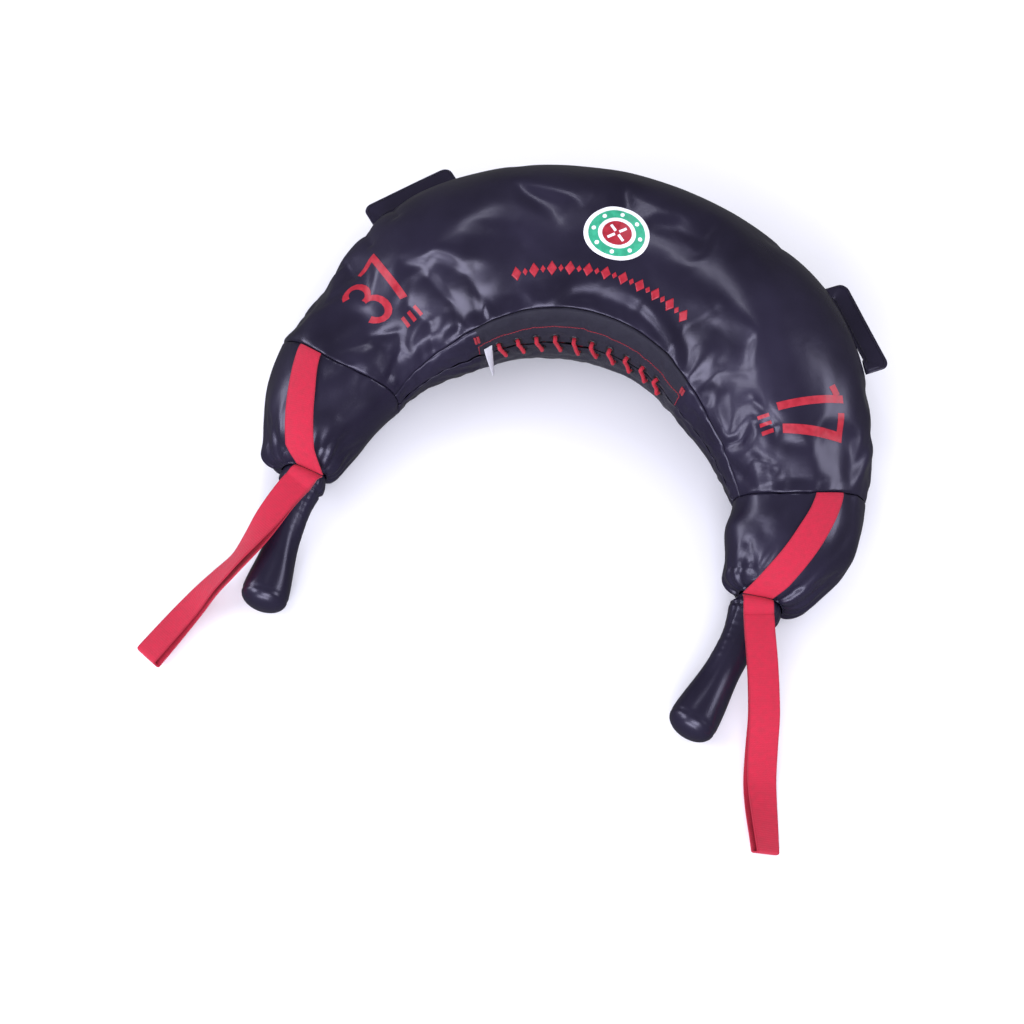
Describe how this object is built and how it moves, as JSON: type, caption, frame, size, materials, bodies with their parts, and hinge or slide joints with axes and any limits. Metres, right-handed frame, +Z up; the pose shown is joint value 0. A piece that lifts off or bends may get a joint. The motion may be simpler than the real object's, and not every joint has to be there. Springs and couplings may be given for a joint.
{
  "type": "sandbag trainer",
  "caption": "Crescent sand-filled training bag in glossy coated cloth, laced along its inner side, with a knobbed grip and a webbing loop at each end and carry loops on the outer seam.",
  "frame": {"origin": "on the floor under the middle of the crescent, on the bag's axis", "axes": "+Z up; +Y out of the middle of the crescent, away from the arms; the arms reach towards -Y, the left one on -X"},
  "size_m": [0.7457, 0.7133, 0.1945],
  "materials": {
    "cover": "glossy coated cloth, near black with a violet cast",
    "band": "matt coated cloth",
    "webbing": "woven red webbing",
    "lace": "round red cord",
    "eyelet": "dark lacquered metal",
    "wadding": "fibre wadding",
    "sand": "sewn liner filled with sand",
    "label": "blank white ribbon",
    "foam": "firm foam"
  },
  "bodies": {
    "bag": {"top_panel": "cover", "bottom_panel": "cover", "inner_band_upper": "band", "inner_band_lower": "band", "lace_flap": "band", "lace": "lace", "padding_upper": "wadding", "padding_lower": "wadding", "sand_liner": "sand", "eyelet_upper_01": "eyelet", "eyelet_upper_02": "eyelet", "eyelet_upper_03": "eyelet", "eyelet_upper_04": "eyelet", "eyelet_upper_05": "eyelet", "eyelet_upper_06": "eyelet", "eyelet_upper_07": "eyelet", "eyelet_upper_08": "eyelet", "eyelet_upper_09": "eyelet", "eyelet_upper_10": "eyelet", "eyelet_lower_01": "eyelet", "eyelet_lower_02": "eyelet", "eyelet_lower_03": "eyelet", "eyelet_lower_04": "eyelet", "eyelet_lower_05": "eyelet", "eyelet_lower_06": "eyelet", "eyelet_lower_07": "eyelet", "eyelet_lower_08": "eyelet", "eyelet_lower_09": "eyelet", "eyelet_lower_10": "eyelet", "left_cuff": "cover", "left_cuff_padding": "wadding", "left_anchor_strap": "webbing", "right_cuff": "cover", "right_cuff_padding": "wadding", "right_anchor_strap": "webbing"},
    "left_neck_body": {"left_neck": "cover"},
    "left_grip": {"left_grip_sleeve": "cover", "left_grip_core": "foam"},
    "left_loop": {"left_loop_strap": "webbing"},
    "left_carry": {"left_carry_loop": "cover"},
    "right_neck_body": {"right_neck": "cover"},
    "right_grip": {"right_grip_sleeve": "cover", "right_grip_core": "foam"},
    "right_loop": {"right_loop_strap": "webbing"},
    "right_carry": {"right_carry_loop": "cover"},
    "label": {"care_label": "label"}
  },
  "joints": [
    {"name": "left_neck_swing", "type": "hinge", "parent": "bag", "child": "left_neck_body", "pos_m": [-0.26987, -0.32125, 0.046], "axis": [0, 0, 1], "range_deg": [-20, 20]},
    {"name": "left_grip_lift", "type": "hinge", "parent": "left_neck_body", "child": "left_grip", "pos_m": [-0.27024, -0.32944, 0.07074], "axis": [-0.999, 0.0455, 0], "range_deg": [0, 30]},
    {"name": "left_loop_fold", "type": "hinge", "parent": "left_grip", "child": "left_loop", "pos_m": [-0.27046, -0.33424, 0.07081], "axis": [-0.8779, 0.4788, 0], "range_deg": [0, 75]},
    {"name": "left_carry_swing", "type": "hinge", "parent": "bag", "child": "left_carry", "pos_m": [-0.22786, 0.02544, 0.10814], "axis": [0.7517, 0.6561, 0.0667], "range_deg": [-35, 50]},
    {"name": "right_neck_swing", "type": "hinge", "parent": "bag", "child": "right_neck_body", "pos_m": [0.24884, -0.3531, 0.046], "axis": [0, 0, 1], "range_deg": [-20, 20]},
    {"name": "right_grip_lift", "type": "hinge", "parent": "right_neck_body", "child": "right_grip", "pos_m": [0.24631, -0.3609, 0.07074], "axis": [-0.9514, 0.3079, 0], "range_deg": [0, 30]},
    {"name": "right_loop_fold", "type": "hinge", "parent": "right_grip", "child": "right_loop", "pos_m": [0.25055, -0.36732, 0.06989], "axis": [-0.97, -0.2431, 0], "range_deg": [0, 75]},
    {"name": "right_carry_swing", "type": "hinge", "parent": "bag", "child": "right_carry", "pos_m": [0.28337, -0.02655, 0.10904], "axis": [0.5907, -0.8025, -0.084], "range_deg": [-35, 50]},
    {"name": "care_label_swing", "type": "hinge", "parent": "bag", "child": "label", "pos_m": [-0.10089, -0.14, 0.11078], "axis": [-0.8675, -0.4965, -0.0326], "range_deg": [0, 60]}
  ]
}
